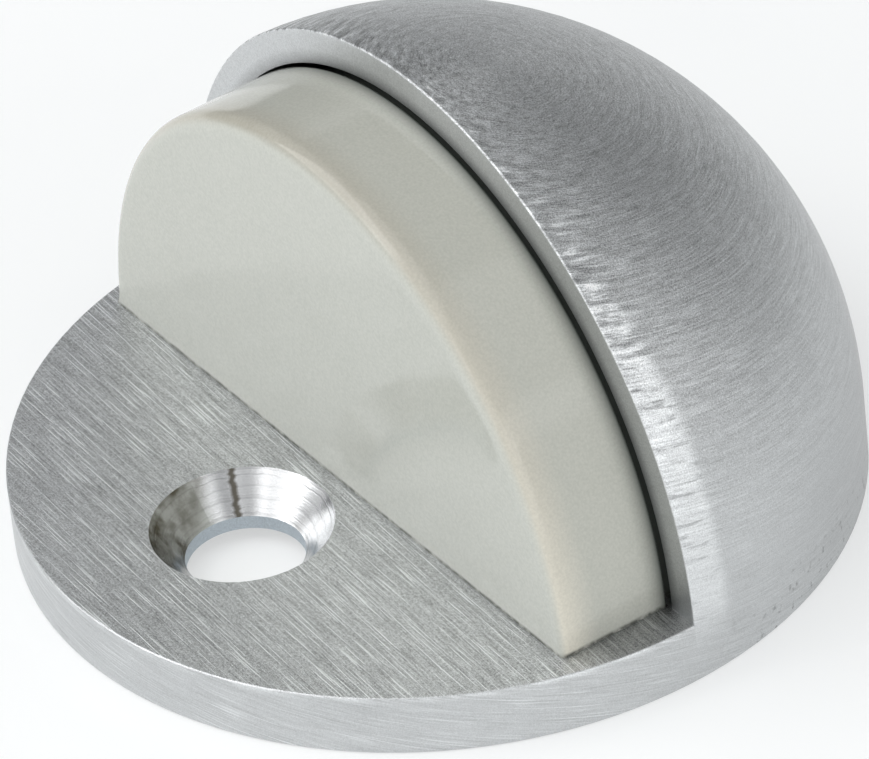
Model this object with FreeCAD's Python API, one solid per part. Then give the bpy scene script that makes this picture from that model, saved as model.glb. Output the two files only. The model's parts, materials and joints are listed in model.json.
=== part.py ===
import FreeCAD, Part
import math
import os

# Low dome floor stop: a cast base and dome in one piece, with a rubber bumper held in its pocket.
#
# Frame: millimetres, +Z up. The origin is the centre of the base circle, on the floor.
# The bumper faces -Y, towards the door, and the dome closes the back, +Y.
# X runs along the bumper's face, and the whole stop is its own mirror image across X = 0.

# ---------------------------------------------------------------- driving dimensions

# Base and dome casting
base_radius = 22.225             # a 44.45 mm base circle
base_thickness = 3.5
dome_wall = 1.9
lip_plane_y = 0.35               # the dome is sawn open a little behind its own axis
edge_round = 0.12                # front edge of the base and outer edge of the mouth, softened by brushing
foot_chamfer = 0.1               # bottom edge, where the side meets the floor
recess_depth = 0.8               # underside relief, which leaves a rim to stand on
bearing_rim_width = 2.4

# Hole for the floor screw, in the front flange
floor_screw_y = -12.05
floor_screw_radius = 3.13        # clears a No. 10 or No. 12 flat head wood screw
floor_sink_radius = 4.8
sink_angle = 82.0                # inch flat head screws, degrees across the cone

# Rubber bumper
bumper_front_y = -6.22
bumper_gap = 0.2                 # all round, between the rubber and the dome's inside
bumper_nose_round = 0.7          # curved edge of the front face

# Bumper screw, a 6-32 flat head machine screw driven up through the base
bumper_screw_y = 8.0
screw_length = 9.525
screw_major_radius = 1.753
screw_root_radius = 1.33
screw_pitch = 25.4 / 32
screw_head_radius = 3.5
screw_head_rim = 0.25            # straight rim under the flat of the head
screw_point_chamfer = 0.4
screw_head_inset = 0.1           # head lies this far above the recess floor
driver_arm_width = 1.05
driver_mouth_radius = 2.35
driver_floor_radius = 0.9
driver_depth = 1.55

# Threaded insert moulded into the rubber
insert_flats = 6.0
insert_length = 8.4
insert_bore_depth = 7.6
insert_bore_radius = 1.79        # plain wall, just over the screw's thread
insert_groove_width = 1.2
insert_groove_depth = 0.45
insert_groove_heights = (2.2, 5.0)

# Fits and cutting allowances
screw_clearance = 0.2            # radial, between the screw and the base
overshoot = 1.0                  # how far a cutting tool runs past what it cuts

# ---------------------------------------------------------------- derived sizes

dome_inner_radius = base_radius - dome_wall
bumper_radius = dome_inner_radius - bumper_gap
sink_slope = math.tan(math.radians(sink_angle / 2))
head_seat_radius = screw_head_radius + screw_clearance
recess_radius = base_radius - bearing_rim_width

up = FreeCAD.Vector(0, 0, 1)
along_y = FreeCAD.Vector(0, 1, 0)


def point(x, y, z):
    return FreeCAD.Vector(x, y, z)


def line(start, end):
    return Part.makeLine(start, end)


def arc(start, middle, end):
    return Part.Arc(start, middle, end).toShape()


def turned(edges, centre, axis, degrees=360.0):
    """Solid swept by turning a closed outline about an axis."""
    return Part.Face(Part.Wire(edges)).revolve(centre, axis, degrees)


# ---------------------------------------------------------------- casting

def base():
    """Turned disc with a rounded top edge, squared up again along the back, where the dome carries on."""
    flat = base_radius - edge_round
    shoulder = base_thickness - edge_round
    bulge = edge_round * math.sqrt(0.5)
    edges = [
        line(point(0, 0, 0), point(0, base_radius - foot_chamfer, 0)),
        line(point(0, base_radius - foot_chamfer, 0), point(0, base_radius, foot_chamfer)),
        line(point(0, base_radius, foot_chamfer), point(0, base_radius, shoulder)),
        arc(
            point(0, base_radius, shoulder),
            point(0, flat + bulge, shoulder + bulge),
            point(0, flat, base_thickness),
        ),
        line(point(0, flat, base_thickness), point(0, 0, base_thickness)),
        line(point(0, 0, base_thickness), point(0, 0, 0)),
    ]
    disc = turned(edges, point(0, 0, 0), up)
    collar = Part.makeCylinder(base_radius, edge_round, point(0, 0, shoulder))
    reach = base_radius + overshoot
    behind = Part.makeBox(2 * reach, reach, base_thickness, point(-reach, lip_plane_y, 0))
    return disc.fuse(collar.common(behind))


def dome_shell():
    """Half of a turned bowl lying on its side: a round back, an even wall and a flat, rounded mouth."""
    def at(out, y):
        return point(out, y, base_thickness)

    def on_ball(radius, y):
        return at(math.sqrt(radius ** 2 - y ** 2), y)

    corner_out = math.sqrt((base_radius - edge_round) ** 2 - (lip_plane_y + edge_round) ** 2)
    corner_y = lip_plane_y + edge_round
    bulge = edge_round * math.sqrt(0.5)
    tangent_y = corner_y * base_radius / (base_radius - edge_round)
    outer_middle = base_radius * math.sqrt(0.5)
    inner_middle = dome_inner_radius * math.sqrt(0.5)
    edges = [
        arc(at(0, base_radius), at(outer_middle, outer_middle), on_ball(base_radius, tangent_y)),
        arc(
            on_ball(base_radius, tangent_y),
            at(corner_out + bulge, corner_y - bulge),
            at(corner_out, lip_plane_y),
        ),
        line(at(corner_out, lip_plane_y), on_ball(dome_inner_radius, lip_plane_y)),
        arc(
            on_ball(dome_inner_radius, lip_plane_y),
            at(inner_middle, inner_middle),
            at(0, dome_inner_radius),
        ),
        line(at(0, dome_inner_radius), at(0, base_radius)),
    ]
    return turned(edges, at(0, 0), along_y * -1, 180.0)


def countersunk_hole(y, hole_radius, mouth_radius, mouth_z, cone_up):
    """Through hole with a cone that narrows away from its mouth.

    cone_up is +1 where the mouth is on top of the base and -1 where it is underneath.
    """
    cone_depth = (mouth_radius - hole_radius) / sink_slope
    relief = overshoot / sink_slope
    axis = up * cone_up
    start = point(0, y, mouth_z) + axis * relief
    cone = Part.makeCone(
        mouth_radius + overshoot, hole_radius, relief + cone_depth, start, axis * -1
    )
    bore = Part.makeCylinder(
        hole_radius, base_thickness + 2 * overshoot, point(0, y, -overshoot), up
    )
    return cone.fuse(bore)


def dome_casting():
    body = base().fuse(dome_shell()).removeSplitter()
    body = body.cut(Part.makeCylinder(recess_radius, recess_depth))
    floor_hole = countersunk_hole(
        floor_screw_y, floor_screw_radius, floor_sink_radius, base_thickness, 1
    )
    bumper_hole = countersunk_hole(
        bumper_screw_y, screw_major_radius + screw_clearance, head_seat_radius, recess_depth, -1
    )
    return body.cut(floor_hole).cut(bumper_hole)


# ---------------------------------------------------------------- bumper and its fixing

def insert_body():
    """Hexagonal blank with two grooves: the flats stop it turning and the grooves stop it pulling out."""
    corner_radius = insert_flats / math.sqrt(3)
    corners = [
        point(
            corner_radius * math.cos(math.radians(60 * side)),
            bumper_screw_y + corner_radius * math.sin(math.radians(60 * side)),
            base_thickness,
        )
        for side in range(7)
    ]
    blank = Part.Face(Part.makePolygon(corners)).extrude(up * insert_length)
    for height in insert_groove_heights:
        foot = point(0, bumper_screw_y, base_thickness + height)
        outside = Part.makeCylinder(corner_radius + overshoot, insert_groove_width, foot)
        core = Part.makeCylinder(insert_flats / 2 - insert_groove_depth, insert_groove_width, foot)
        blank = blank.cut(outside.cut(core))
    return blank


def threaded_insert():
    foot = point(0, bumper_screw_y, base_thickness)
    return insert_body().cut(Part.makeCylinder(insert_bore_radius, insert_bore_depth, foot))


def rubber_bumper():
    """Half of a turned bullet shape: flat nose, straight sides, then the round of the pocket."""
    def at(out, y):
        return point(out, y, base_thickness)

    nose = bumper_nose_round
    bulge = nose * math.sqrt(0.5)
    slant = bumper_radius * math.sqrt(0.5)
    nose_centre = (bumper_radius - nose, bumper_front_y + nose)
    edges = [
        line(at(0, bumper_front_y), at(nose_centre[0], bumper_front_y)),
        arc(
            at(nose_centre[0], bumper_front_y),
            at(nose_centre[0] + bulge, nose_centre[1] - bulge),
            at(bumper_radius, nose_centre[1]),
        ),
        line(at(bumper_radius, nose_centre[1]), at(bumper_radius, 0)),
        arc(at(bumper_radius, 0), at(slant, slant), at(0, bumper_radius)),
        line(at(0, bumper_radius), at(0, bumper_front_y)),
    ]
    plug = turned(edges, at(0, 0), along_y * -1, 180.0)
    return plug.cut(insert_body())


def screw_thread(foot_z, top_z):
    """Helical ridge, with its ends cut square, to fuse to the screw's core."""
    length = top_z - foot_z + 2 * screw_pitch
    helix = Part.makeHelix(screw_pitch, length, screw_root_radius)
    buried = screw_root_radius - 0.08
    half = 0.42 * screw_pitch
    crest = 0.06 * screw_pitch
    section = Part.makePolygon([
        point(buried, 0, -half),
        point(screw_major_radius, 0, -crest),
        point(screw_major_radius, 0, crest),
        point(buried, 0, half),
        point(buried, 0, -half),
    ])
    ridge = Part.Solid(Part.Wire(helix).makePipeShell([section], True, True))
    ridge.translate(point(0, 0, foot_z - screw_pitch))
    trim = Part.makeCylinder(2 * screw_major_radius, top_z - foot_z, point(0, 0, foot_z))
    return ridge.common(trim)


def bumper_screw():
    """Flat head screw, head down, built on the Z axis and then set on the bumper screw's axis."""
    head_z = recess_depth + screw_head_inset
    neck_z = head_z + screw_head_rim + (screw_head_radius - screw_root_radius) / sink_slope
    tip_z = head_z + screw_length
    tip_radius = screw_root_radius - screw_point_chamfer
    edges = [
        line(point(0, 0, head_z), point(screw_head_radius, 0, head_z)),
        line(point(screw_head_radius, 0, head_z), point(screw_head_radius, 0, head_z + screw_head_rim)),
        line(
            point(screw_head_radius, 0, head_z + screw_head_rim),
            point(screw_root_radius, 0, neck_z),
        ),
        line(point(screw_root_radius, 0, neck_z), point(screw_root_radius, 0, tip_z - screw_point_chamfer)),
        line(point(screw_root_radius, 0, tip_z - screw_point_chamfer), point(tip_radius, 0, tip_z)),
        line(point(tip_radius, 0, tip_z), point(0, 0, tip_z)),
        line(point(0, 0, tip_z), point(0, 0, head_z)),
    ]
    screw = turned(edges, point(0, 0, 0), up)
    screw = screw.fuse(screw_thread(neck_z - screw_pitch / 4, tip_z - 2 * screw_point_chamfer))
    screw = screw.cut(cross_recess(head_z))
    screw.translate(point(0, bumper_screw_y, 0))
    return screw


def cross_recess(head_z):
    """Cross for the driver, narrower towards its floor."""
    reach = 2 * driver_mouth_radius
    arms = []
    for length, width in ((reach, driver_arm_width), (driver_arm_width, reach)):
        corner = point(-length / 2, -width / 2, head_z)
        arms.append(Part.makeBox(length, width, driver_depth, corner))
    funnel = Part.makeCone(
        driver_mouth_radius, driver_floor_radius, driver_depth, point(0, 0, head_z), up
    )
    return arms[0].fuse(arms[1]).common(funnel)


# ---------------------------------------------------------------- write the pieces

pieces = {
    "dome_casting": dome_casting,
    "rubber_bumper": rubber_bumper,
    "bumper_insert": threaded_insert,
    "bumper_screw": bumper_screw,
}

os.makedirs("parts", exist_ok=True)
for name, make in pieces.items():
    shape = make()
    if len(shape.Solids) == 1:
        shape = shape.Solids[0]
    box = shape.BoundBox
    print(
        f"{name}: {len(shape.Solids)} solid, {len(shape.Faces)} faces, valid {shape.isValid()}, "
        f"volume {shape.Volume:.1f} mm3, "
        f"x {box.XMin:.2f}..{box.XMax:.2f} y {box.YMin:.2f}..{box.YMax:.2f} z {box.ZMin:.2f}..{box.ZMax:.2f}"
    )
    shape.exportStep(f"parts/{name}.step")
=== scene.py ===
# %% [markdown]
# # A low dome floor stop
#
# The real thing is four pieces. One casting is both the base and the dome. A rubber bumper fills the dome's
# open front, a brass insert is moulded into the rubber, and a flat head screw comes up through the base
# into that insert. The CAD model already holds their sizes and places, so this file asks the frame where
# things are, gives the rubber its softer shape, and adds the surfaces.

# %% Load the frame
import bmesh
import bpy
import json
import math
from mathutils import Matrix, Vector


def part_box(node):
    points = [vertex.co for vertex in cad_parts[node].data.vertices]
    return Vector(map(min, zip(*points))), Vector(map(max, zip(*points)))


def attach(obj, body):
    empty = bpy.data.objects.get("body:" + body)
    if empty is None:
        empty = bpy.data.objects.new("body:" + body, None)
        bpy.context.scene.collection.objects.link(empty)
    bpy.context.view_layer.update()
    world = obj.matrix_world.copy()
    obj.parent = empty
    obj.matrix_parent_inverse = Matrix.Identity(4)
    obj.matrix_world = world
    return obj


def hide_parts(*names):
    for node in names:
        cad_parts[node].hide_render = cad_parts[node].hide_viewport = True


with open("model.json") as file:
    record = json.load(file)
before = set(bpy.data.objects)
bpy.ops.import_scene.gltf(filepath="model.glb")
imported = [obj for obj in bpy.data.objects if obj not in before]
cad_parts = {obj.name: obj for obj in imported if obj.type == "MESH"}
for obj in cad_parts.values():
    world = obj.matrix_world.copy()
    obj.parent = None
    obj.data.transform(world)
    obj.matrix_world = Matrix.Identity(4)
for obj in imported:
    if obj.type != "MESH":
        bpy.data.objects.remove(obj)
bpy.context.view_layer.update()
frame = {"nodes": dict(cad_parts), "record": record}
nodes = frame["nodes"]
print("CAD nodes:", sorted(nodes))

# %% [markdown]
# The stop is only 44 mm across, so it is easier to think in millimetres while Blender works in metres.
# Nearly every size below is read off a CAD node's box. Three need a closer look at the casting's mesh: the
# plane where the dome is cut open, the radius of its mouth, and how wide the countersink is at the top.

# %% Sizes, read from the frame
mm = 0.001

casting_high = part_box("dome_casting")[1]
bumper_low, bumper_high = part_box("rubber_bumper")
insert_low, insert_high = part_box("bumper_insert")
screw_low, screw_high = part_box("bumper_screw")
mounts = {mount["name"]: mount for mount in frame["record"]["mounts"]}

base_radius = casting_high.x
base_top = bumper_low.z
bumper_front = bumper_low.y
bumper_radius = bumper_high.x
ball_centre = Vector((0, 0, base_top))
screw_axis = Vector((0, (screw_low.y + screw_high.y) / 2, 0))
floor_hole = Vector((0, mounts["floor_screw_hole"]["pos_m"][1], 0))
floor_hole_radius = mounts["floor_screw_hole"]["dims"]["r_mm"] * mm

casting_points = [vertex.co for vertex in nodes["dome_casting"].data.vertices]
high_points = [point for point in casting_points if point.z > 2 * base_top]
lip_y = min(point.y for point in high_points)
on_lip = [point for point in high_points if point.y < lip_y + 0.01 * mm]
mouth_radius = min((point - ball_centre).length for point in on_lip)
near_hole = [(point.xy - floor_hole.xy).length for point in casting_points]
sink_radius = max(reach for reach in near_hole if reach < 2 * floor_hole_radius)
print(f"base radius {base_radius / mm:.2f} mm, top of the base {base_top / mm:.2f} mm")
print(f"lip at y {lip_y / mm:.2f} mm, mouth radius {mouth_radius / mm:.2f} mm")
print(f"countersink radius {sink_radius / mm:.2f} mm")

# %% [markdown]
# Colours are easiest to judge as the hex values that a paint chart or a screen shows. Blender's shaders
# want linear light, so one function does that conversion for every colour in the file.
#
# Materials here are built from many small nodes. One function adds a node, sets its properties and joins
# its sockets, so that each line below reads as one step of the finish. Most finishes start from noise, and
# nearly all of a noise's values lie in a narrow band, which MapRange nodes stretch to what is needed.

# %% Colour and node helpers
def linear(hex_colour):
    """A #rrggbb colour as linear RGBA."""
    channels = [int(hex_colour[place:place + 2], 16) / 255 for place in (1, 3, 5)]
    bent = [c / 12.92 if c <= 0.04045 else ((c + 0.055) / 1.055) ** 2.4 for c in channels]
    return (*bent, 1.0)


def add(tree, kind, inputs=None, **properties):
    """Adds one node, sets its properties, then fills its sockets in use, by name or by number.

    An input is a plain value, an output socket, or a node, which stands for its first output in use.
    """
    node = tree.nodes.new("ShaderNode" + kind)
    for name, value in properties.items():
        setattr(node, name, value)
    sockets = [socket for socket in node.inputs if socket.enabled]
    for key, value in (inputs or {}).items():
        socket = sockets[key] if isinstance(key, int) else next(s for s in sockets if s.name == key)
        if isinstance(value, bpy.types.Node):
            value = next(output for output in value.outputs if output.enabled)
        if isinstance(value, bpy.types.NodeSocket):
            tree.links.new(value, socket)
        else:
            socket.default_value = value
    return node


def new_material(name):
    """An empty node material and its tree."""
    material = bpy.data.materials.new(name)
    material.use_nodes = True
    material.node_tree.nodes.clear()
    return material, material.node_tree


noise_low = 0.3
noise_high = 0.7
print("light grey #c0c0c0 is", [round(channel, 3) for channel in linear("#c0c0c0")])

# %% [markdown]
# ## The stage
#
# Small satin hardware is usually shot on a sheet that is lit from below as well as from above: that fills
# the shadows under the rim, and the metal's side mirrors it as a clean pale band. So the sheet glows, and
# its own tone is pale grey, because glow and caught light together have to come out just short of white.

# %% Floor
floor_reach = 3.0
floor_glow = 0.52
floor_gap = 0.02 * mm               # keeps the sheet clear of the base's bearing rim
paper_cloud = 25 * mm

floor_mesh = bpy.data.meshes.new("studio_floor")
sheet = bmesh.new()
bmesh.ops.create_grid(sheet, x_segments=1, y_segments=1, size=floor_reach)
bmesh.ops.translate(sheet, verts=sheet.verts, vec=(0, 0, -floor_gap))
sheet.to_mesh(floor_mesh)
sheet.free()
floor = bpy.data.objects.new("studio_floor", floor_mesh)
bpy.context.scene.collection.objects.link(floor)

# Matt paper: smooth to the eye, with only a faint cloudiness from its fibres.
paper, tree = new_material("white_studio_paper")
place = add(tree, "TexCoord").outputs["Object"]
cloud = add(tree, "TexNoise", {"Vector": place, "Scale": 1 / paper_cloud, "Detail": 3.0})
colour = add(
    tree, "Mix", {"Factor": cloud, "A": linear("#b2b4b5"), "B": linear("#bcbdbd")}, data_type="RGBA"
)
bsdf = add(tree, "BsdfPrincipled", {
    "Base Color": colour,
    "Roughness": 0.8,
    "Emission Color": linear("#fbfcfc"),
    "Emission Strength": floor_glow,
})
add(tree, "OutputMaterial", {"Surface": bsdf})
floor_mesh.materials.append(paper)
print("floor reaches", max(vertex.co.x for vertex in floor_mesh.vertices), "m each way")

# %% [markdown]
# ## Camera
#
# The view is close and from a long lens, so the stop's circles stay nearly true ellipses. The camera
# stands to the right of the bumper, looks down at about 37 degrees, and is tipped a few degrees.

# %% Camera
view_azimuth = math.radians(58.69)
view_elevation = math.radians(37.25)
view_roll = math.radians(-6.4)
view_distance = 22.57 * base_radius
view_aim = Vector((-2.58, 1.93, 4.22)) * mm
film_width = 36.0                   # mm
lens_length = 401.2                 # mm
nearest_seen = 0.01                 # m


def direction(azimuth, elevation):
    """Unit vector towards a place in the studio: azimuth 0 is in front of the bumper, 90 is on its right."""
    flat = math.cos(elevation)
    return Vector((math.sin(azimuth) * flat, -math.cos(azimuth) * flat, math.sin(elevation)))


camera_data = bpy.data.cameras.new("studio_camera")
camera_data.sensor_width = film_width
camera_data.lens = lens_length
camera_data.clip_start = nearest_seen
camera = bpy.data.objects.new("studio_camera", camera_data)
bpy.context.scene.collection.objects.link(camera)
camera.location = direction(view_azimuth, view_elevation) * view_distance
look = (view_aim - camera.location).normalized()
turn = look.to_track_quat("-Z", "Y").to_matrix().to_4x4()
camera.matrix_world = Matrix.Translation(camera.location) @ turn @ Matrix.Rotation(view_roll, 4, "Z")
bpy.context.scene.camera = camera
print("camera", [round(value, 3) for value in camera.location])

# %% [markdown]
# ## Light
#
# Satin metal shows whatever surrounds it, only blurred, so its light is arranged by direction more than by
# brightness: each part of the dome mirrors one part of the room. A ring of large soft boxes makes a light
# tent. It is brightest in front of the bumper and low on the right, dim behind, and the room fills the rest.

# %% Soft boxes
room_glow = 0.2
box_width = 0.7
box_distance = 0.9
soft_boxes = {
    # name: (azimuth, elevation, glow), where a white wall in full light would glow at about 1
    "front_low": (0, 12, 0.65),
    "front_high": (0, 45, 0.9),
    "front_left_low": (-40, 12, 0.35),
    "front_left_high": (-40, 45, 1.9),
    "left_high": (-80, 45, 0.4),
    "front_right_low": (40, 12, 0.75),
    "front_right_high": (40, 45, 0.3),
    "right_low": (80, 12, 1.15),
    "right_high": (80, 45, 0.15),
    "right_back_low": (120, 12, 0.7),
    "right_back_high": (120, 45, 0.6),
    "back_right_low": (160, 12, 0.2),
    "back_left_low": (-140, 12, 0.4),
    "overhead": (0, 88, 0.9),
}

world = bpy.data.worlds.new("studio_room")
bpy.context.scene.world = world
world.use_nodes = True
world.node_tree.nodes["Background"].inputs["Color"].default_value = linear("#f2f5f8")
world.node_tree.nodes["Background"].inputs["Strength"].default_value = room_glow
bpy.context.scene.view_settings.view_transform = "Standard"

for name, (azimuth, elevation, glow) in soft_boxes.items():
    light = bpy.data.lights.new(name, "AREA")
    light.size = box_width
    light.energy = math.pi * glow * box_width ** 2
    soft_box = bpy.data.objects.new(name, light)
    soft_box.location = direction(math.radians(azimuth), math.radians(elevation)) * box_distance
    soft_box.rotation_euler = soft_box.location.to_track_quat("Z", "Y").to_euler()
    soft_box.visible_camera = False
    bpy.context.scene.collection.objects.link(soft_box)
print("soft boxes:", list(soft_boxes))

# %% [markdown]
# ## The rubber bumper
#
# The real bumper is one moulding: a flat face for the door, a half-round side, and a ball at the back that
# fills the dome. The CAD solid has those sizes but every edge of it is the same. On the moulding the front
# edge is plump at the crown and crisp down at the base, and the side ends in a shoulder just before the lip.
#
# It could be sculpted, but it is a turned shape at heart, so its outline is drawn once and spun half round.
# The outline starts from a single point at the back of the ball. Spinning that point draws nearly a quarter
# circle, as far as the shoulder, extruding draws the straight runs, and bevelling rounds two of the corners.

# %% Outline of the bumper
tuck_radius = 19.4 * mm             # the part under the dome is smaller than the part that shows
shoulder_y = lip_y - 0.03 * mm      # the side stops just short of the lip, which leaves a dark groove
shoulder_round = 0.25 * mm
nose_round = 0.95 * mm
flat_margin = 0.4 * mm              # narrow strips that keep the flats flat where they meet a round
arc_steps = 24
round_steps = 8


def draw_to(mesh, start, out, y):
    """Draws the next straight run of the outline and returns its new end."""
    end = bmesh.ops.extrude_vert_indiv(mesh, verts=[start])["verts"][0]
    end.co = (out, y, base_top)
    return end


bumper = bmesh.new()
pole = bumper.verts.new((0, tuck_radius, base_top))
ball_turn = math.acos(shoulder_y / tuck_radius)
quarter = bmesh.ops.spin(
    bumper, geom=[pole], cent=ball_centre, axis=(0, 0, -1), angle=ball_turn, steps=arc_steps
)
ball_end = next(item for item in quarter["geom_last"] if isinstance(item, bmesh.types.BMVert))
shoulder = draw_to(bumper, ball_end, bumper_radius, shoulder_y)
side = draw_to(bumper, shoulder, bumper_radius, shoulder_y - shoulder_round - flat_margin)
side = draw_to(bumper, side, bumper_radius, bumper_front + nose_round + flat_margin)
nose = draw_to(bumper, side, bumper_radius, bumper_front)
face = draw_to(bumper, nose, bumper_radius - nose_round - flat_margin, bumper_front)
draw_to(bumper, face, 0, bumper_front)

bmesh.ops.bevel(
    bumper, geom=[shoulder], offset=shoulder_round, segments=round_steps, profile=0.5, affect="VERTICES",
    material=-1,
)
bmesh.ops.bevel(
    bumper, geom=[nose], offset=nose_round, segments=round_steps, profile=0.5, affect="VERTICES",
    material=-1,
)
print("outline points:", len(bumper.verts))

# %% Spin it half round
half_turn_steps = 128
weld_reach = 0.001 * mm

bmesh.ops.spin(
    bumper, geom=bumper.verts[:] + bumper.edges[:], cent=ball_centre, axis=(0, -1, 0),
    angle=math.radians(180), steps=half_turn_steps,
)
bmesh.ops.remove_doubles(bumper, verts=bumper.verts, dist=weld_reach)
print("turned faces:", len(bumper.faces))

# %% [markdown]
# A fillet shrinks evenly when it is scaled towards the sharp corner that it replaced. So the front edge is
# spun with its plumpest round, and each of its points is then drawn towards its own corner, more so lower
# down. The foot of the left corner has crept outwards, as rubber does where it is pressed on a hard plate.

# %% Crisper towards the base, and a spread foot
crisp_share = 0.35                  # the round at the base, as a share of the round at the crown
foot_height = 1.1 * mm
foot_spread = 0.22 * mm
foot_reach = 3 * mm                 # how far back from the face the foot is spread
off_centre = -0.12 * mm             # the moulding sits a little to the left in its pocket

for vertex in bumper.verts:
    radial = vertex.co - ball_centre
    radial.y = 0
    rise = radial.z / bumper_radius
    inside_round = radial.length > bumper_radius - nose_round - flat_margin / 2
    if vertex.co.y < bumper_front + nose_round + flat_margin / 2 and inside_round:
        corner = ball_centre + radial.normalized() * bumper_radius
        corner.y = bumper_front
        share = crisp_share + (1 - crisp_share) * math.sqrt(max(rise, 0))
        vertex.co = corner.lerp(vertex.co, share)
    foot = max(0, 1 - radial.z / foot_height) ** 2
    if vertex.co.x < 0:
        near_front = max(0, 1 - (vertex.co.y - bumper_front) / foot_reach)
        vertex.co.x -= foot_spread * foot * near_front * abs(vertex.co.x) / bumper_radius
    vertex.co.x += off_centre
print("front edge shaped")

# %% [markdown]
# Underneath, the rubber sits on the base and holds the brass insert in a six-sided socket. A circle of six
# steps is that hexagon, `triangle_fill` fills the floor between it and the outline, and extruding the
# hexagon upwards makes the socket's walls.

# %% Underside and socket
corner_radius = (insert_high.x - insert_low.x) / 2
outline = [edge for edge in bumper.edges if edge.is_boundary]
hexagon_turn = math.radians(30)
socket_place = Matrix.Translation(screw_axis + ball_centre) @ Matrix.Rotation(hexagon_turn, 4, "Z")
socket = bmesh.ops.create_circle(
    bumper, cap_ends=False, segments=6, radius=corner_radius, matrix=socket_place
)
mouth = [edge for edge in bumper.edges if all(vertex in socket["verts"] for vertex in edge.verts)]
bmesh.ops.triangle_fill(bumper, edges=outline + mouth, use_beauty=True, normal=(0, 0, -1))
walls = bmesh.ops.extrude_edge_only(bumper, edges=mouth)["geom"]
top = [item for item in walls if isinstance(item, bmesh.types.BMVert)]
bmesh.ops.translate(bumper, verts=top, vec=(0, 0, insert_high.z - insert_low.z))
bmesh.ops.contextual_create(bumper, geom=top)
bmesh.ops.recalc_face_normals(bumper, faces=bumper.faces)

crease = math.radians(35)
for surface in bumper.faces:
    surface.smooth = True
for edge in bumper.edges:
    edge.smooth = edge.calc_face_angle(math.pi) < crease
open_edges = sum(1 for edge in bumper.edges if not edge.is_manifold)

bumper_mesh = bpy.data.meshes.new("moulded_bumper")
bumper.to_mesh(bumper_mesh)
bumper.free()
moulded_bumper = bpy.data.objects.new("moulded_bumper", bumper_mesh)
bpy.context.scene.collection.objects.link(moulded_bumper)
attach(moulded_bumper, "root")
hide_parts("rubber_bumper")
print("bumper faces:", len(bumper_mesh.polygons), "open edges:", open_edges)

# %% [markdown]
# ## Grey rubber
#
# The bumper is a firm, filled rubber (SBR or TPE), moulded in a polished tool. The eye sees a pale warm
# grey with a soft eggshell gloss: smooth enough to mirror the plate in front of it, but blurred. Up close
# there is a fine mottle where filler shows and a scuffed patch on the crown. The round front edge is a
# creamier tone, a painted highlight, paler low down and darker towards the crown, and the side is a little
# darker than the face, partly painted shade. Painted shade darkens the side towards the groove at the lip,
# and a thin line of dust with painted contact shade lies along the foot. The tones are mixed first, then the
# painted shade and dust go on top.

# %% Moulded rubber
rubber, tree = new_material("moulded_grey_rubber")
mottle_size = 0.14 * mm             # real filler is too fine to show, so its grain is drawn this coarse
cloud_size = 5 * mm
edge_highlight_start = 0.3 * mm               # the painted highlight on the front edge fades out between these two depths
edge_highlight_end = 2.6 * mm
groove_shade_reach = 1.4 * mm              # how far the painted shade comes out of the groove
dust_and_shade_height = 0.3 * mm
dust_grain = 0.5 * mm
scuff_radius = 1.6 * mm
scuff_place = Vector((2.6, -3.3, 0)) * mm
scuff_place.z = base_top + 19.9 * mm

place = add(tree, "TexCoord").outputs["Object"]
axes = add(tree, "SeparateXYZ", {0: place})
mottle = add(tree, "TexNoise", {"Vector": place, "Scale": 1 / mottle_size, "Detail": 2.0})
cloud = add(tree, "TexNoise", {"Vector": place, "Scale": 1 / cloud_size, "Detail": 3.0})

# How far round the front edge a point is: 0 on the face and 1 on the side.
face_to_side = add(tree, "MapRange", {
    0: axes.outputs["Y"], "From Min": bumper_front, "From Max": bumper_front + 0.35 * mm,
}, interpolation_type="SMOOTHSTEP")
# Painted highlight: the round front edge is painted paler than the face, most of all low down, and darker
# towards the crown.
edge_highlight_fade = add(tree, "MapRange", {
    0: axes.outputs["Y"], "From Min": bumper_front + edge_highlight_start, "From Max": bumper_front + edge_highlight_end,
    "To Min": 1.0, "To Max": 0.0,
}, interpolation_type="SMOOTHSTEP")
face_tone = add(tree, "Mix", {
    "Factor": cloud, "A": linear("#bcbeb6"), "B": linear("#c0c2ba"),
}, data_type="RGBA")
height_up = add(tree, "MapRange", {
    0: axes.outputs["Z"], "From Min": base_top, "From Max": base_top + bumper_radius,
})
edge_highlight_tone = add(tree, "Mix", {
    "Factor": height_up, "A": linear("#d6d2c4"), "B": linear("#b0ada1"),
}, data_type="RGBA")
# The side is a little darker than the face, partly painted shade.
side_tone = add(tree, "Mix", {
    "Factor": edge_highlight_fade, "A": linear("#b7b8af"), "B": edge_highlight_tone,
}, data_type="RGBA")
tone = add(tree, "Mix", {"Factor": face_to_side, "A": face_tone, "B": side_tone}, data_type="RGBA")
fleck = add(tree, "MapRange", {
    0: mottle, "From Min": noise_low, "From Max": noise_high, "To Min": 0.93, "To Max": 1.05,
})
colour = add(tree, "VectorMath", {0: tone, "Scale": fleck}, operation="SCALE")

# Painted shade: the groove at the lip is painted dark, and the shade fades a little way up the side.
groove_shade = add(tree, "MapRange", {
    0: axes.outputs["Y"], "From Min": lip_y - groove_shade_reach, "From Max": shoulder_y - 0.1 * mm,
})
groove_shade = add(tree, "Math", {0: groove_shade, 1: 1.9}, operation="POWER")
colour = add(tree, "Mix", {"Factor": groove_shade, "A": colour, "B": linear("#5c615c")}, data_type="RGBA")

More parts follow.
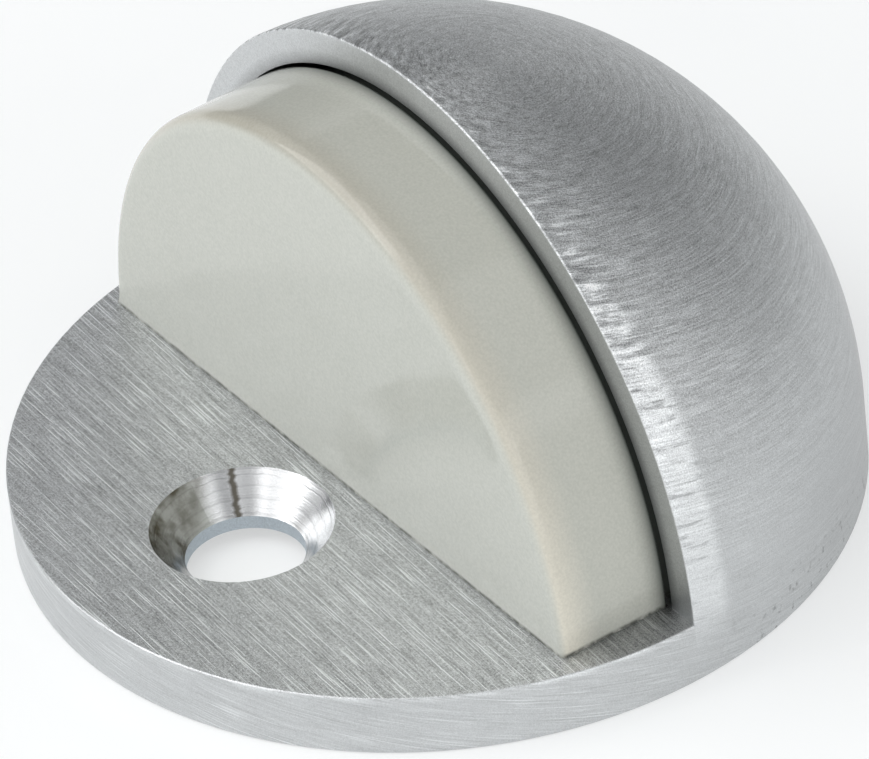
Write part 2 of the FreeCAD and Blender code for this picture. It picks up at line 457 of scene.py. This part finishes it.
# Dust and polish gather in a thin broken line where the rubber stands on the plate, and the line is also
# painted contact shade.
dust_and_shade_line = add(tree, "MapRange", {
    0: axes.outputs["Z"], "From Min": base_top + 0.05 * mm, "From Max": base_top + dust_and_shade_height,
    "To Min": 1.0, "To Max": 0.0,
}, interpolation_type="SMOOTHSTEP")
dust_and_shade = add(tree, "TexNoise", {"Vector": place, "Scale": 1 / dust_grain, "Detail": 3.0})
dust_and_shade = add(tree, "MapRange", {0: dust_and_shade, "From Min": 0.35, "From Max": 0.6, "To Min": 0.35, "To Max": 1.0})
dust_and_shade = add(tree, "Math", {0: dust_and_shade, 1: dust_and_shade_line}, operation="MULTIPLY")
colour = add(tree, "Mix", {"Factor": dust_and_shade, "A": colour, "B": linear("#4d4f47")}, data_type="RGBA")

scuff_reach = add(tree, "VectorMath", {0: place, 1: scuff_place}, operation="DISTANCE")
scuff = add(tree, "MapRange", {
    0: scuff_reach.outputs["Value"], "From Min": 0.6 * mm, "From Max": scuff_radius,
    "To Min": 1.0, "To Max": 0.0,
}, interpolation_type="SMOOTHSTEP")
gloss = add(tree, "MapRange", {
    0: cloud, "From Min": noise_low, "From Max": noise_high, "To Min": 0.1, "To Max": 0.14,
})
roughness = add(tree, "Math", {0: scuff, 1: 0.12, 2: gloss}, operation="MULTIPLY_ADD")
waves = add(tree, "Bump", {"Strength": 1.0, "Distance": 0.05 * mm, "Height": cloud})
skin = add(tree, "Bump", {
    "Strength": 0.25, "Distance": 0.004 * mm, "Height": mottle, "Normal": waves,
})
bsdf = add(tree, "BsdfPrincipled", {
    "Base Color": colour, "Roughness": roughness, "IOR": 1.52, "Normal": skin,
})
add(tree, "OutputMaterial", {"Surface": bsdf})
bumper_mesh.materials.append(rubber)
print("rubber:", len(tree.nodes), "nodes")

# %% [markdown]
# ## Satin chrome on a brushed casting
#
# The casting is ground and brushed on a belt before it is plated, so the chrome follows every scratch. The
# flange is stroked straight along the bumper. The dome and its rim are rolled against the belt, which
# leaves rings about an axis that leans back a little. The countersink is cut after brushing, on a drill
# press, and stays bright with fine turning rings. The recess underneath is left as it was cast.
#
# All of this is one material, because it is one piece of metal. It could be one material for each face, but
# then the finishes would meet in hard lines. It is built in three steps. The first works out where a point is
# in each finish. The second draws the strokes along the right direction there. The third turns strokes into
# tone, gloss and height. Each region is a number from 0 to 1, and patterns are laid out in millimetres.

# %% Where each finish is
chrome, tree = new_material("satin_chrome_on_brushed_casting")
place = add(tree, "TexCoord").outputs["Object"]
flat_place = add(tree, "VectorMath", {0: place, "Scale": 1 / mm}, operation="SCALE")
axes = add(tree, "SeparateXYZ", {0: flat_place})
facing = add(tree, "SeparateXYZ", {0: add(tree, "NewGeometry").outputs["Normal"]})

behind_lip = add(tree, "MapRange", {
    0: axes.outputs["Y"], "From Min": lip_y / mm - 0.02, "From Max": lip_y / mm + 0.02,
})
flange = add(tree, "MapRange", {0: facing.outputs["Z"], "From Min": 0.8, "From Max": 0.95})
flange = add(tree, "Math", {0: flange, 1: behind_lip}, operation="SUBTRACT", use_clamp=True)
lip = add(tree, "MapRange", {
    0: facing.outputs["Y"], "From Min": -0.97, "From Max": -0.85, "To Min": 1.0, "To Max": 0.0,
})
above_base = add(tree, "Math", {0: axes.outputs["Z"], 1: base_top / mm + 0.02}, operation="GREATER_THAN")
lip = add(tree, "Math", {0: lip, 1: above_base}, operation="MULTIPLY")

hole_place = add(tree, "VectorMath", {0: flat_place, 1: floor_hole / mm}, operation="SUBTRACT")
hole_axes = add(tree, "SeparateXYZ", {0: hole_place})
hole_reach = add(tree, "VectorMath", {
    0: add(tree, "CombineXYZ", {"X": hole_axes.outputs["X"], "Y": hole_axes.outputs["Y"]}),
}, operation="LENGTH").outputs["Value"]
in_sink = add(tree, "Math", {0: hole_reach, 1: sink_radius / mm + 0.02}, operation="LESS_THAN")
not_flat = add(tree, "Math", {0: facing.outputs["Z"], 1: 0.9}, operation="LESS_THAN")
in_sink = add(tree, "Math", {0: in_sink, 1: not_flat}, operation="MULTIPLY")
cone = add(tree, "MapRange", {0: facing.outputs["Z"], "From Min": 0.3, "From Max": 0.5})
cone = add(tree, "Math", {0: cone, 1: in_sink}, operation="MULTIPLY")

underside = add(tree, "MapRange", {
    0: facing.outputs["Z"], "From Min": -0.9, "From Max": -0.7, "To Min": 1.0, "To Max": 0.0,
})
print("finish regions drawn:", len(tree.nodes), "nodes")

# %% [markdown]
# A stroke is long one way and narrow the other, so the strokes are noise on coordinates that are already
# millimetres along the stroke and millimetres across it. On the flange those are plain X and Y. On the
# dome a Mapping node turns the object so that the belt's axis is upright, and the two coordinates are the
# distance round that axis and the distance up from its equator.

# %% Along and across the strokes
belt_axis = Vector((0.08, 0.22, 0.97)).normalized()
stroke_length = 2.2                 # mm
stroke_width = 0.085                # mm; real scratches are too fine to show, so they are drawn this wide
flange_slant = 0.04                 # the flange was held a little askew on the belt
grit_per_mm = 13.0                  # finer than a stroke, and the same in every direction
patch_per_mm = 0.3
stroke_kinds = {
    # name: (how many fit in a stroke's length, how many in its width, detail, roughness of the noise)
    "fine": (1.0, 1.0, 3.0, 0.6),
    "broad": (0.3, 0.25, 2.0, 0.5),
    "scratch": (0.6, 1.0, 0.0, 0.5),
    "nick": (0.65, 0.22, 3.0, 0.6),
}

lean = Vector((0, 0, 1)).rotation_difference(belt_axis).to_euler()
belt_place = add(tree, "Mapping", {
    "Vector": place, "Location": ball_centre, "Rotation": lean, "Scale": (mm, mm, mm),
}, vector_type="TEXTURE")
belt_axes = add(tree, "SeparateXYZ", {0: belt_place})
round_angle = add(tree, "Math", {0: belt_axes.outputs["Y"], 1: belt_axes.outputs["X"]}, operation="ARCTAN2")
round_mm = add(tree, "Math", {0: round_angle, 1: base_radius / mm}, operation="MULTIPLY")
belt_unit = add(tree, "SeparateXYZ", {0: add(tree, "VectorMath", {0: belt_place}, operation="NORMALIZE")})
up_angle = add(tree, "Math", {0: belt_unit.outputs["Z"]}, operation="ARCSINE")
up_mm = add(tree, "Math", {0: up_angle, 1: base_radius / mm}, operation="MULTIPLY")
belt_strokes = add(tree, "CombineXYZ", {"X": round_mm, "Y": up_mm})
flat_across = add(tree, "Math", {
    0: axes.outputs["X"], 1: flange_slant, 2: axes.outputs["Y"],
}, operation="MULTIPLY_ADD")
flat_strokes = add(tree, "CombineXYZ", {"X": axes.outputs["X"], "Y": flat_across})
strokes = add(tree, "Mix", {"Factor": flange, "A": belt_strokes, "B": flat_strokes}, data_type="VECTOR")

marks = {}
for name, (per_length, per_width, detail, harshness) in stroke_kinds.items():
    stretched = add(tree, "VectorMath", {
        0: strokes, 1: (per_length / stroke_length, per_width / stroke_width, 1),
    }, operation="MULTIPLY")
    marks[name] = add(tree, "TexNoise", {
        "Vector": stretched, "Scale": 1.0, "Detail": detail, "Roughness": harshness,
    })
marks["grit"] = add(tree, "TexNoise", {
    "Vector": flat_place, "Scale": grit_per_mm, "Detail": 2.0, "Roughness": 0.9,
})
patch = add(tree, "TexNoise", {"Vector": flat_place, "Scale": patch_per_mm, "Detail": 3.0})
print("strokes drawn:", len(tree.nodes), "nodes")

# %% [markdown]
# The finishes don't show their strokes equally. The flange and the crown were pressed flat on the belt and
# are coarse. The dome's side and the rim were only rolled against it, and the rim of the mouth hardly touched
# it. A few deep scratches cross the flange and the front of the rim, and short nicks run in from the mouth.

# %% How strongly each finish shows its strokes
side_strokes = 0.28                 # 1 is as strong as on the flange
rim_strokes = 0.4
lip_strokes = 0.1
side_grit = 0.5
rim_grit = 0.4
flat_grit = 1.5                     # on the flange and the crown
rim_scratches = 0.6
mouth_nicks = 0.85
nick_reach = 5.0                    # mm that the nicks run back from the mouth

crown_share = add(tree, "MapRange", {0: facing.outputs["Z"], "From Min": 0.1, "From Max": 0.75})
on_rim = add(tree, "MapRange", {
    0: axes.outputs["Z"], "From Min": base_top / mm - 1.0, "From Max": base_top / mm + 2.0,
    "To Min": 1.0, "To Max": 0.0,
}, interpolation_type="SMOOTHSTEP")
ball_strokes = add(tree, "Mix", {"Factor": crown_share, "A": side_strokes, "B": 1.0})
ball_strokes = add(tree, "Mix", {"Factor": on_rim, "A": ball_strokes, "B": rim_strokes})
ball_grit = add(tree, "Mix", {"Factor": crown_share, "A": side_grit, "B": flat_grit})
ball_grit = add(tree, "Mix", {"Factor": on_rim, "A": ball_grit, "B": rim_grit})
stroke_show = add(tree, "Mix", {"Factor": flange, "A": ball_strokes, "B": 1.0})
stroke_show = add(tree, "Mix", {"Factor": lip, "A": stroke_show, "B": lip_strokes})
grit_show = add(tree, "Mix", {"Factor": flange, "A": ball_grit, "B": flat_grit})
rim_front = add(tree, "MapRange", {
    0: axes.outputs["Y"], "From Min": -6.0, "From Max": 2.0, "To Min": rim_scratches, "To Max": 0.0,
})
rim_front = add(tree, "Math", {0: rim_front, 1: on_rim}, operation="MULTIPLY")
scratch_show = add(tree, "Math", {0: flange, 1: rim_front}, operation="MAXIMUM")
near_mouth = add(tree, "MapRange", {
    0: axes.outputs["Y"], "From Min": lip_y / mm, "From Max": lip_y / mm + nick_reach,
    "To Min": mouth_nicks, "To Max": 0.0,
})
near_mouth = add(tree, "Math", {0: near_mouth, 1: behind_lip}, operation="MULTIPLY")
near_mouth = add(tree, "Math", {0: near_mouth, 1: crown_share}, operation="MULTIPLY")
print("strengths set:", len(tree.nodes), "nodes")

# %% Add the marks up
fine_weight = 0.6
scratch_weight = 1.5
broad_weight = 0.2
grit_weight = 0.6

swing = {}                          # each noise as a swing from -1 to 1
for name, reach in {"fine": 0.25, "broad": 0.2, "grit": 0.2, "nick": 0.2}.items():
    swing[name] = add(tree, "MapRange", {
        0: marks[name], "From Min": 0.5 - reach, "From Max": 0.5 + reach, "To Min": -1.0, "To Max": 1.0,
    })
patch_part = add(tree, "MapRange", {
    0: patch, "From Min": 0.35, "From Max": 0.65, "To Min": 0.6, "To Max": 1.25,
})
scratch = add(tree, "MapRange", {0: marks["scratch"], "From Min": 0.62, "From Max": 0.76})
scratch = add(tree, "Math", {0: scratch, 1: scratch_show}, operation="MULTIPLY")
mark = add(tree, "Math", {0: swing["fine"], 1: fine_weight}, operation="MULTIPLY")
mark = add(tree, "Math", {0: scratch, 1: scratch_weight, 2: mark}, operation="MULTIPLY_ADD")
mark = add(tree, "Math", {0: mark, 1: patch_part}, operation="MULTIPLY")
mark = add(tree, "Math", {0: swing["broad"], 1: broad_weight, 2: mark}, operation="MULTIPLY_ADD")
mark = add(tree, "Math", {0: mark, 1: stroke_show}, operation="MULTIPLY")
grit_mark = add(tree, "Math", {0: swing["grit"], 1: grit_show}, operation="MULTIPLY")
brush_height = add(tree, "Math", {0: grit_mark, 1: grit_weight, 2: mark}, operation="MULTIPLY_ADD")
mark = add(tree, "Math", {0: swing["nick"], 1: near_mouth, 2: brush_height}, operation="MULTIPLY_ADD")
print("marks weighed:", len(tree.nodes), "nodes")

# %% [markdown]
# Where the belt ran over the dome's mouth it has turned the last two millimetres a few degrees forward.
# The step is too slight for the outline, but metal is a mirror, so even a slight turn shows as a band of
# different brightness. It is done by leaning the surface normal. Low down the band is whole, with short
# dark nicks that run in from the lip. Towards the crown it breaks up, until only a few bright dashes remain.

# %% The band behind the lip
mouth_band = 2.25                   # mm
mouth_lean = 0.18                   # how far the normal leans, where 1 would be 45 degrees

break_up = add(tree, "MapRange", {
    0: facing.outputs["Z"], "From Min": 0.5, "From Max": 0.9, "To Max": 0.24,
})
ragged = add(tree, "Math", {0: marks["nick"], 1: 0.9, 2: axes.outputs["Y"]}, operation="MULTIPLY_ADD")
ragged = add(tree, "Math", {0: break_up, 1: 5.0, 2: ragged}, operation="MULTIPLY_ADD")
band = add(tree, "MapRange", {
    0: ragged, "From Min": lip_y / mm + mouth_band - 0.1, "From Max": lip_y / mm + mouth_band + 0.8,
    "To Min": 1.0, "To Max": 0.0,
}, interpolation_type="SMOOTHSTEP")
band = add(tree, "Math", {0: band, 1: behind_lip}, operation="MULTIPLY")
above_rim = add(tree, "MapRange", {
    0: axes.outputs["Z"], "From Min": 0.5 * base_top / mm, "From Max": 1.4 * base_top / mm,
}, interpolation_type="SMOOTHSTEP")
band = add(tree, "Math", {0: band, 1: above_rim}, operation="MULTIPLY")
broken = add(tree, "Math", {0: marks["nick"], 1: break_up}, operation="SUBTRACT")
broken = add(tree, "MapRange", {0: broken, "From Min": 0.36, "From Max": 0.44})
band = add(tree, "Math", {0: band, 1: broken}, operation="MULTIPLY")
lean_by = add(tree, "Math", {0: band, 1: -mouth_lean}, operation="MULTIPLY")
leaning = add(tree, "VectorMath", {
    0: add(tree, "NewGeometry").outputs["Normal"], 1: add(tree, "CombineXYZ", {"Y": lean_by}),
}, operation="ADD")
leaning = add(tree, "VectorMath", {0: leaning}, operation="NORMALIZE")
print("mouth band:", len(tree.nodes), "nodes")

# %% [markdown]
# A stroke with a high mark is a bright, smooth ridge, and one with a low mark is a dark, rough valley, so the
# same sum drives both tone and roughness. Wear and painted light then change the tone by place. Edges that
# are handled are polished and carry a painted highlight, and the band behind the lip is painted brighter. The
# metal is a little darker towards the back. Painted shade darkens the inside of the mouth's rim beside the
# groove, and the strip of plate beside the bumper, where the bumper shades it.

# %% Tone and gloss of the brushed metal
metal_tone = linear("#c9cbcc")[:3]
valley_tone = 0.4
ridge_tone = 1.5
valley_roughness = 0.4
ridge_roughness = 0.32
worn_and_highlight_tone = 1.25
back_tone = 0.83
lip_shade_tone = 0.65                   # painted shade on the inside of the mouth's rim, beside the groove; the next value is for its outside
lip_open_tone = 1.1
shaded_tone = 0.7                   # the strip beside the bumper, and the plate in front of it is open_tone
open_tone = 1.05

brushed = add(tree, "MapRange", {
    0: mark, "From Min": -1.0, "From Max": 1.0, "To Min": valley_tone, "To Max": ridge_tone,
})
roughness = add(tree, "MapRange", {
    0: mark, "From Min": -1.0, "From Max": 1.0, "To Min": valley_roughness, "To Max": ridge_roughness,
})
near_edge = add(tree, "MapRange", {
    0: axes.outputs["Z"], "From Min": base_top / mm - 0.4, "From Max": base_top / mm - 0.1,
})
near_edge = add(tree, "Math", {0: near_edge, 1: behind_lip}, operation="SUBTRACT", use_clamp=True)
# Painted highlight: the top edge of the base gets bright flecks, partly real edge wear, and the band behind
# the lip is painted brighter too, for the light it catches.
edge_wear_and_glint = add(tree, "MapRange", {0: marks["nick"], "From Min": 0.4, "From Max": 0.55})
edge_wear_and_glint = add(tree, "Math", {0: edge_wear_and_glint, 1: near_edge}, operation="MULTIPLY")
polish_and_highlight = add(tree, "Math", {0: edge_wear_and_glint, 1: band}, operation="MAXIMUM")
polish_and_highlight_tone = add(tree, "MapRange", {0: polish_and_highlight, "To Min": 1.0, "To Max": worn_and_highlight_tone})
# The metal is a little darker towards the back.
darker_to_back = add(tree, "MapRange", {
    0: axes.outputs["Y"], "From Min": 6.0, "From Max": 17.0, "To Min": 1.0, "To Max": back_tone,
})
polish_and_highlight_tone = add(tree, "Math", {0: polish_and_highlight_tone, 1: darker_to_back}, operation="MULTIPLY")
over_base = add(tree, "Math", {0: axes.outputs["Z"], 1: base_top / mm}, operation="SUBTRACT")
mouth_place = add(tree, "CombineXYZ", {"X": axes.outputs["X"], "Z": over_base})
mouth_reach = add(tree, "VectorMath", {0: mouth_place}, operation="LENGTH")
# Painted shade: the inside edge of the mouth's rim is painted darker beside the groove.
lip_shading = add(tree, "MapRange", {
    0: mouth_reach.outputs["Value"], "From Min": mouth_radius / mm, "From Max": mouth_radius / mm + 0.8,
    "To Min": lip_shade_tone, "To Max": lip_open_tone,
})
region = add(tree, "Mix", {"Factor": lip, "A": polish_and_highlight_tone, "B": lip_shading})
# Painted shade: the plate beside the bumper is painted darker, where the bumper shades it.
beside_bumper_shade = add(tree, "MapRange", {
    0: axes.outputs["Y"], "From Min": bumper_front / mm + 0.2, "From Max": bumper_front / mm + 2.5,
    "To Min": open_tone, "To Max": shaded_tone,
}, interpolation_type="SMOOTHSTEP")
region = add(tree, "Mix", {"Factor": flange, "A": region, "B": beside_bumper_shade})
brushed = add(tree, "Math", {0: brushed, 1: region}, operation="MULTIPLY")
print("brushed tone:", len(tree.nodes), "nodes")

# %% [markdown]
# Every casting has small pits under its skin. Brushing smears them shut, but the belt barely touched the back
# of the rim low down, so a few are still open there. They are the peaks of a noise that is cut off high.

# %% Open pits
pits_per_mm = 2.2
pit_depth = 0.5                     # how much darker a pit is

pit = add(tree, "TexNoise", {"Vector": flat_place, "Scale": pits_per_mm, "Detail": 3.0})
pit = add(tree, "MapRange", {0: pit, "From Min": 0.6, "From Max": 0.68, "To Max": pit_depth})
pit_low = add(tree, "MapRange", {
    0: axes.outputs["Z"], "From Min": 1.0, "From Max": 3.4, "To Min": 1.0, "To Max": 0.0,
})
pit_back = add(tree, "MapRange", {0: axes.outputs["Y"], "From Min": 1.0, "From Max": 7.0})
pit = add(tree, "Math", {0: pit, 1: pit_low}, operation="MULTIPLY")
pit = add(tree, "Math", {0: pit, 1: pit_back}, operation="MULTIPLY")
unpitted = add(tree, "Math", {0: 1.0, 1: pit}, operation="SUBTRACT")
brushed = add(tree, "Math", {0: brushed, 1: unpitted}, operation="MULTIPLY")
colour = add(tree, "VectorMath", {0: metal_tone, "Scale": brushed}, operation="SCALE")
print("pits:", len(tree.nodes), "nodes")

# %% [markdown]
# The countersink is bright metal with turning rings. They are one noise read along the distance from the
# hole's axis, and a second noise bends them a little, as a cutter wanders. One dark line down the cone is a
# painted reflection, and one side of the cone is darker and browner. Below the cone the hole's wall is dull,
# and its colour is painted darker as shade inside the hole.

# %% Countersink
ring_gap = 0.2                      # mm between turning rings
ring_bend = 0.25                    # mm
streak_way = Vector((-0.89, 0.46, 0))   # from the hole's axis towards the dark line
stain_way = Vector((-0.66, -0.75, 0))   # and towards the darker side
sink_metal = linear("#dadbdc")[:3]
wall_metal_in_shade = linear("#bcc5cc")[:3]
cone_dark_colour = linear("#5e584a")

ring_wear = add(tree, "TexNoise", {"Vector": hole_place, "Scale": 0.9, "Detail": 3.0})
ring_reach = add(tree, "Math", {0: ring_wear, 1: ring_bend, 2: hole_reach}, operation="MULTIPLY_ADD")
ring_place = add(tree, "CombineXYZ", {"X": ring_reach})
ring_noise = add(tree, "TexNoise", {"Vector": ring_place, "Scale": 1 / ring_gap, "Detail": 3.0})
ring_line = add(tree, "MapRange", {0: ring_noise, "From Min": 0.3, "From Max": 0.5})

stain_side = add(tree, "VectorMath", {0: hole_place, 1: stain_way}, operation="DOT_PRODUCT")
stain = add(tree, "MapRange", {
    0: stain_side.outputs["Value"], "From Min": 0.4 * sink_radius / mm, "From Max": 0.75 * sink_radius / mm,
}, interpolation_type="SMOOTHSTEP")
stain_wear = add(tree, "MapRange", {0: ring_wear, "From Min": 0.35, "From Max": 0.65, "To Min": 0.35})
stain = add(tree, "Math", {0: stain, 1: stain_wear}, operation="MULTIPLY")

# Painted reflection: one dark line down the cone.
beside_streak = Vector((streak_way.y, -streak_way.x, 0))
streak_turn = add(tree, "VectorMath", {0: hole_place, 1: beside_streak}, operation="DOT_PRODUCT")
streak_off = add(tree, "Math", {
    0: ring_noise, 1: 0.5, 2: streak_turn.outputs["Value"],
}, operation="MULTIPLY_ADD")
streak_off = add(tree, "Math", {0: streak_off, 1: 0.25}, operation="SUBTRACT")
streak_off = add(tree, "Math", {0: streak_off}, operation="ABSOLUTE")
streak = add(tree, "MapRange", {
    0: streak_off, "From Min": 0.08, "From Max": 0.26, "To Min": 0.9, "To Max": 0.0,
})
streak_side = add(tree, "VectorMath", {0: hole_place, 1: streak_way}, operation="DOT_PRODUCT")
streak_side = add(tree, "Math", {0: streak_side.outputs["Value"], 1: 0.0}, operation="GREATER_THAN")
streak = add(tree, "Math", {0: streak, 1: streak_side}, operation="MULTIPLY")
# The darker side and the painted reflection line share one mask and one dark colour.
stain = add(tree, "Math", {0: stain, 1: streak}, operation="MAXIMUM")

sink_tone = add(tree, "MapRange", {0: ring_line, "To Min": 0.7, "To Max": 1.08})
sink_grain = add(tree, "MapRange", {
    0: marks["grit"], "From Min": noise_low, "From Max": noise_high, "To Min": 0.9, "To Max": 1.08,
})
sink_tone = add(tree, "Math", {0: sink_tone, 1: sink_grain}, operation="MULTIPLY")
sink_colour = add(tree, "VectorMath", {0: sink_metal, "Scale": sink_tone}, operation="SCALE")
sink_colour = add(tree, "Mix", {"Factor": stain, "A": sink_colour, "B": cone_dark_colour}, data_type="RGBA")
# The hole's wall is dull bluish metal, painted darker as shade inside the hole.
wall_tone = add(tree, "MapRange", {
    0: marks["grit"], "From Min": noise_low, "From Max": noise_high, "To Min": 0.75, "To Max": 1.15,
})
wall_colour = add(tree, "VectorMath", {0: wall_metal_in_shade, "Scale": wall_tone}, operation="SCALE")
sink_colour = add(tree, "Mix", {"Factor": cone, "A": wall_colour, "B": sink_colour}, data_type="RGBA")
print("countersink:", len(tree.nodes), "nodes")

# %% [markdown]
# The regions now choose between the finishes. The recess underneath keeps the dull grey skin that the mould
# gave it. Only the marks that a fingertip could feel go into the bump: the strokes, the grit and the rings.

# %% Join the finishes
cast_metal = linear("#8f9294")[:3]
wall_roughness = 0.45
cone_roughness = 0.22
cast_roughness = 0.55
relief_depth = 0.006 * mm

cast_tone = add(tree, "MapRange", {
    0: marks["grit"], "From Min": noise_low, "From Max": noise_high, "To Min": 0.8, "To Max": 1.1,
})
cast_colour = add(tree, "VectorMath", {0: cast_metal, "Scale": cast_tone}, operation="SCALE")
colour = add(tree, "Mix", {"Factor": in_sink, "A": colour, "B": sink_colour}, data_type="RGBA")
colour = add(tree, "Mix", {"Factor": underside, "A": colour, "B": cast_colour}, data_type="RGBA")
roughness = add(tree, "Mix", {"Factor": in_sink, "A": roughness, "B": wall_roughness})
roughness = add(tree, "Mix", {"Factor": cone, "A": roughness, "B": cone_roughness})
roughness = add(tree, "Mix", {"Factor": underside, "A": roughness, "B": cast_roughness})
height = add(tree, "Mix", {"Factor": cone, "A": brush_height, "B": ring_line})
relief = add(tree, "Bump", {
    "Strength": 1.0, "Distance": relief_depth, "Height": height, "Normal": leaning,
})
print("joined:", len(tree.nodes), "nodes")

# %% [markdown]
# Strokes that are too fine to draw still stretch each highlight across them. That is anisotropy, and it needs
# to know which way the strokes run. On a turned or rolled surface that is the cross product of the axis and
# the way out from it, and on the flange it is plain X.

# %% Way of the strokes, and the shader
highlight_stretch = 0.6
quarter_turn = 0.25                 # turns the stretch from along the strokes to across them

from_centre = add(tree, "VectorMath", {0: place, 1: ball_centre}, operation="SUBTRACT")
belt_tangent = add(tree, "VectorMath", {0: belt_axis, 1: from_centre}, operation="CROSS_PRODUCT")
belt_tangent = add(tree, "VectorMath", {0: belt_tangent}, operation="NORMALIZE")
tangent = add(tree, "Mix", {"Factor": flange, "A": belt_tangent, "B": (1, 0, 0)}, data_type="VECTOR")
ring_tangent = add(tree, "VectorMath", {0: (0, 0, 1), 1: hole_place}, operation="CROSS_PRODUCT")
ring_tangent = add(tree, "VectorMath", {0: ring_tangent}, operation="NORMALIZE")
tangent = add(tree, "Mix", {"Factor": cone, "A": tangent, "B": ring_tangent}, data_type="VECTOR")

bsdf = add(tree, "BsdfPrincipled", {
    "Base Color": colour,
    "Metallic": 1.0,
    "Roughness": roughness,
    "Anisotropic": highlight_stretch,
    "Anisotropic Rotation": quarter_turn,
    "Tangent": tangent,
    "Normal": relief,
})
add(tree, "OutputMaterial", {"Surface": bsdf})
nodes["dome_casting"].material_slots[0].material = chrome
print("satin chrome:", len(tree.nodes), "nodes")

# %% [markdown]
# ## Brass and zinc
#
# The insert is turned from brass bar and never seen, and the screw shows only from underneath. Brass gets
# the fine rings that the lathe leaves, and the steel screw the faintly blue, slightly cloudy look of
# bright zinc plating.

# %% Turned brass
brass, tree = new_material("turned_brass")
turn_pitch = 0.15 * mm
stain_size = 0.8 * mm

place = add(tree, "TexCoord").outputs["Object"]
axes = add(tree, "SeparateXYZ", {0: place})
groove = add(tree, "Math", {0: axes.outputs["Z"], 1: math.tau / turn_pitch}, operation="MULTIPLY")
groove = add(tree, "Math", {0: groove}, operation="SINE")
stain = add(tree, "TexNoise", {"Vector": place, "Scale": 1 / stain_size, "Detail": 3.0})
colour = add(tree, "Mix", {
    "Factor": stain, "A": linear("#d0ac62"), "B": linear("#e3c67f"),
}, data_type="RGBA")
roughness = add(tree, "MapRange", {
    0: stain, "From Min": noise_low, "From Max": noise_high, "To Min": 0.22, "To Max": 0.36,
})
relief = add(tree, "Bump", {"Strength": 0.5, "Distance": 0.005 * mm, "Height": groove})
bsdf = add(tree, "BsdfPrincipled", {
    "Base Color": colour, "Metallic": 1.0, "Roughness": roughness, "Normal": relief,
})
add(tree, "OutputMaterial", {"Surface": bsdf})
nodes["bumper_insert"].material_slots[0].material = brass
print("brass:", len(tree.nodes), "nodes")

# %% Bright zinc
zinc, tree = new_material("bright_zinc_plated_steel")
spangle_size = 0.5 * mm

place = add(tree, "TexCoord").outputs["Object"]
spangle = add(tree, "TexNoise", {"Vector": place, "Scale": 1 / spangle_size, "Detail": 4.0})
colour = add(tree, "Mix", {
    "Factor": spangle, "A": linear("#bcc3ca"), "B": linear("#d3d7da"),
}, data_type="RGBA")
roughness = add(tree, "MapRange", {
    0: spangle, "From Min": noise_low, "From Max": noise_high, "To Min": 0.2, "To Max": 0.34,
})
relief = add(tree, "Bump", {"Strength": 0.3, "Distance": 0.006 * mm, "Height": spangle})
bsdf = add(tree, "BsdfPrincipled", {
    "Base Color": colour, "Metallic": 1.0, "Roughness": roughness, "Normal": relief,
})
add(tree, "OutputMaterial", {"Surface": bsdf})
nodes["bumper_screw"].material_slots[0].material = zinc
print("zinc:", len(tree.nodes), "nodes")
